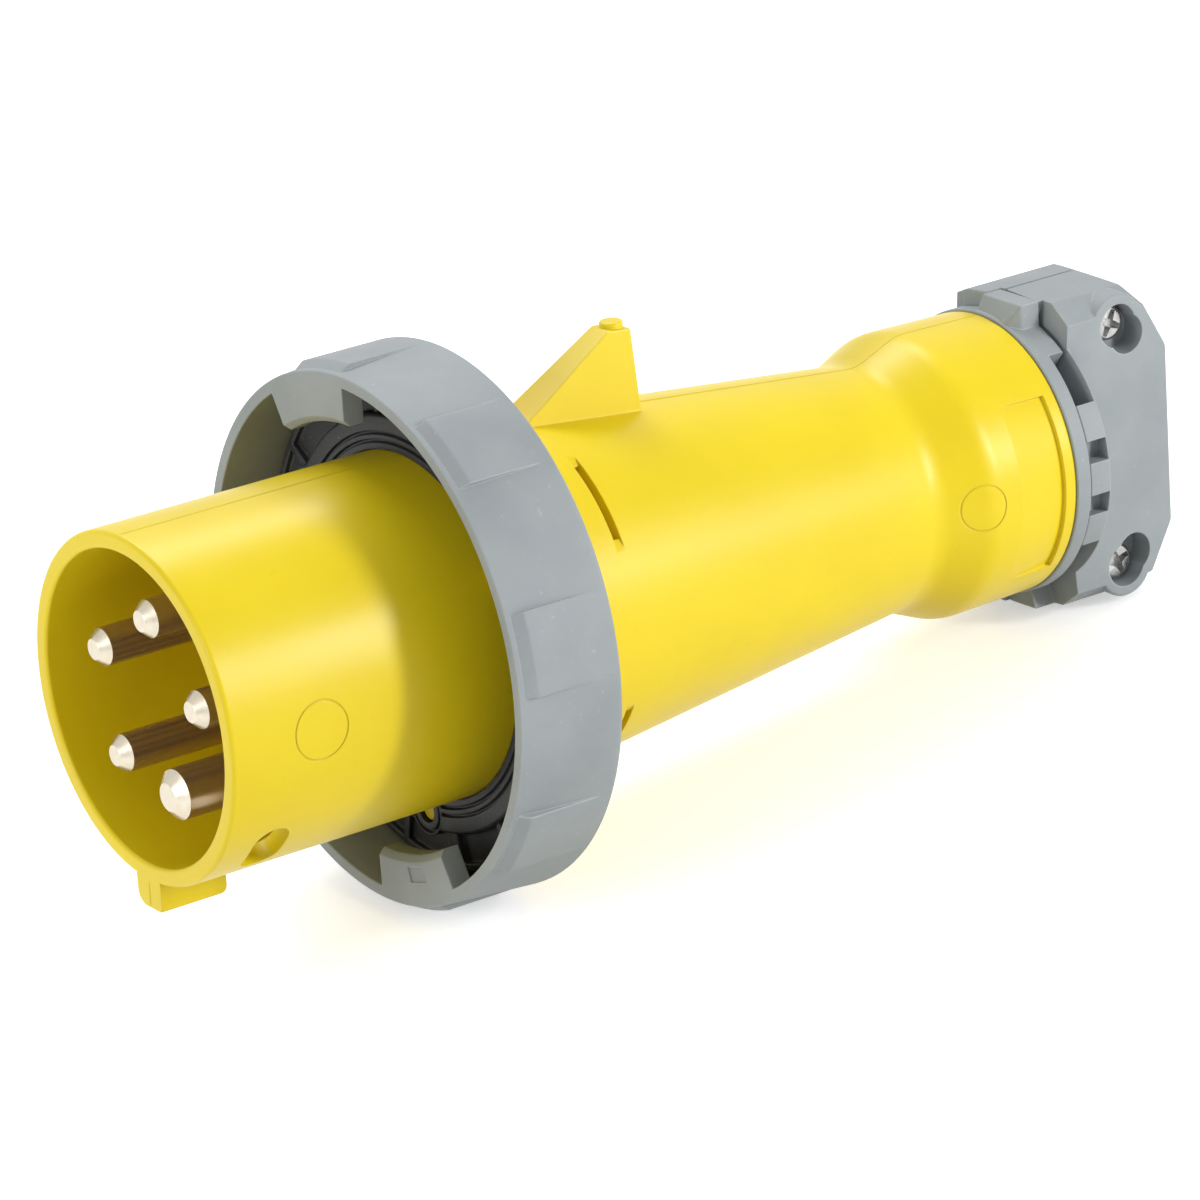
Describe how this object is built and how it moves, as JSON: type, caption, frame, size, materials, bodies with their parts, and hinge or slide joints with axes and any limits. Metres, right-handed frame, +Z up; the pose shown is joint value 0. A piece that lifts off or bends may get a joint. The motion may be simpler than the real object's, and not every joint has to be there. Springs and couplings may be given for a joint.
{
  "type": "pin and sleeve plug",
  "caption": "Pin and sleeve power plug: round contact pins in a keyed sleeve, a bayonet locking ring that turns, a tapered body with a pointer fin and a bolted cable clamp.",
  "frame": {"origin": "centre of the plug's bounding box, on the bench it lies on", "axes": "+X along the plug from the mouth to the cable end, +Z up, with the pointer fin on top and the body tilted as it rests on its ring and clamp"},
  "size_m": [0.224, 0.1, 0.1012],
  "materials": {
    "yellow_plastic": "satin moulded yellow",
    "grey_plastic": "matt moulded blue-grey",
    "black_rubber": "matt black rubber",
    "plated_brass": "nickel plated, bright tips",
    "screw_steel": "zinc plated"
  },
  "bodies": {
    "plug": {"front_sleeve": "yellow_plastic", "pin_carrier": "yellow_plastic", "rear_body": "yellow_plastic", "clamp_base": "grey_plastic", "clamp_half_near": "grey_plastic", "clamp_half_far": "grey_plastic", "thrust_washer": "grey_plastic", "face_gasket": "black_rubber", "body_seal": "black_rubber", "cable_grommet": "black_rubber", "earth_pin": "plated_brass", "line_pin_1": "plated_brass", "line_pin_2": "plated_brass", "line_pin_3": "plated_brass", "neutral_pin": "plated_brass", "earth_terminal_screw": "screw_steel", "line_terminal_screw_1": "screw_steel", "line_terminal_screw_2": "screw_steel", "line_terminal_screw_3": "screw_steel", "neutral_terminal_screw": "screw_steel", "assembly_screws": "screw_steel", "clamp_screw_upper": "screw_steel", "clamp_screw_lower": "screw_steel", "clamp_nuts": "screw_steel"},
    "ring": {"locking_ring": "grey_plastic"}
  },
  "joints": [
    {"name": "ring_turn", "type": "hinge", "parent": "plug", "child": "ring", "pos_m": [-0.05012, 0, 0.05072], "axis": [0.9909, 0, -0.1343], "range_deg": [0, 45]}
  ]
}
